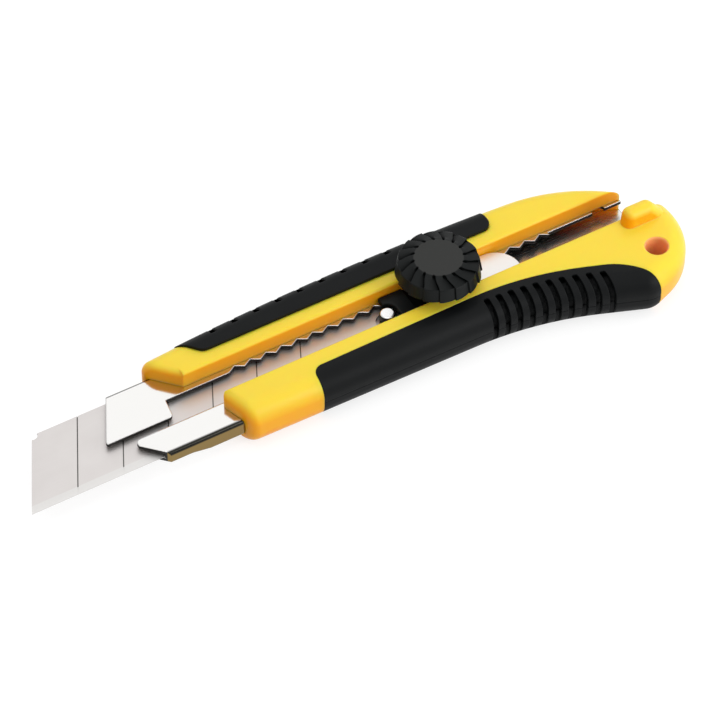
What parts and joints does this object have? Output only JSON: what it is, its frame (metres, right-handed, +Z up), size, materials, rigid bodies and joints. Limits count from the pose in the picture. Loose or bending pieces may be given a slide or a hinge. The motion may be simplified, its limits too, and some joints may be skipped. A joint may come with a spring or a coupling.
{
  "type": "snap-off utility knife",
  "caption": "Heavy-duty snap-off utility knife: a moulded handle with rubber grips, a folded steel blade channel with a rack, and a blade slider locked by a screw wheel.",
  "frame": {"origin": "on the axis of the hang hole, at the level of the handle's underside", "axes": "+X from the blade tip to the butt, +Y from the cutting edge to the blade's spine, +Z up, out of the wheel side"},
  "size_m": [0.2108, 0.0508, 0.0253],
  "materials": {
    "yellow_abs": "moulded, semi-gloss",
    "black_tpe": "overmoulded rubber, satin",
    "black_nylon": "moulded, finely spark-eroded texture",
    "channel_steel": "polished stainless sheet",
    "blade_steel": "ground tool steel",
    "plate_steel": "polished stainless sheet",
    "zinc_steel": "bright zinc plated",
    "turned_brass": "turned",
    "white_acetal": "moulded"
  },
  "bodies": {
    "handle": {"handle_body": "yellow_abs", "edge_grip": "black_tpe", "spine_grip": "black_tpe", "blade_channel": "channel_steel"},
    "slider": {"blade": "blade_steel", "carrier_plate": "zinc_steel", "blade_pin": "plate_steel", "clamp_stud": "zinc_steel"},
    "lock": {"lock_plate": "plate_steel", "rack_dog": "black_nylon", "guide_shoe": "black_nylon"},
    "wheel": {"lock_wheel": "black_nylon", "wheel_nut": "turned_brass", "thrust_washer": "white_acetal"}
  },
  "joints": [
    {"name": "slider_slide", "type": "slide", "parent": "handle", "child": "slider", "axis": [-1, 0, 0], "range_m": [-0.04536, 0.04536]},
    {"name": "lock_lift", "type": "slide", "parent": "slider", "child": "lock", "axis": [0, 0, 1], "range_m": [-0.0008, 0.0004]},
    {"name": "wheel_turn", "type": "hinge", "parent": "lock", "child": "wheel", "pos_m": [-0.0616, 0.0192, 0], "axis": [0, 0, 1], "range_deg": [-360, 180]}
  ],
  "couplings": [
    {"joint": "lock_lift", "follows": "wheel_turn", "m_per_rad": 0.00012732}
  ]
}
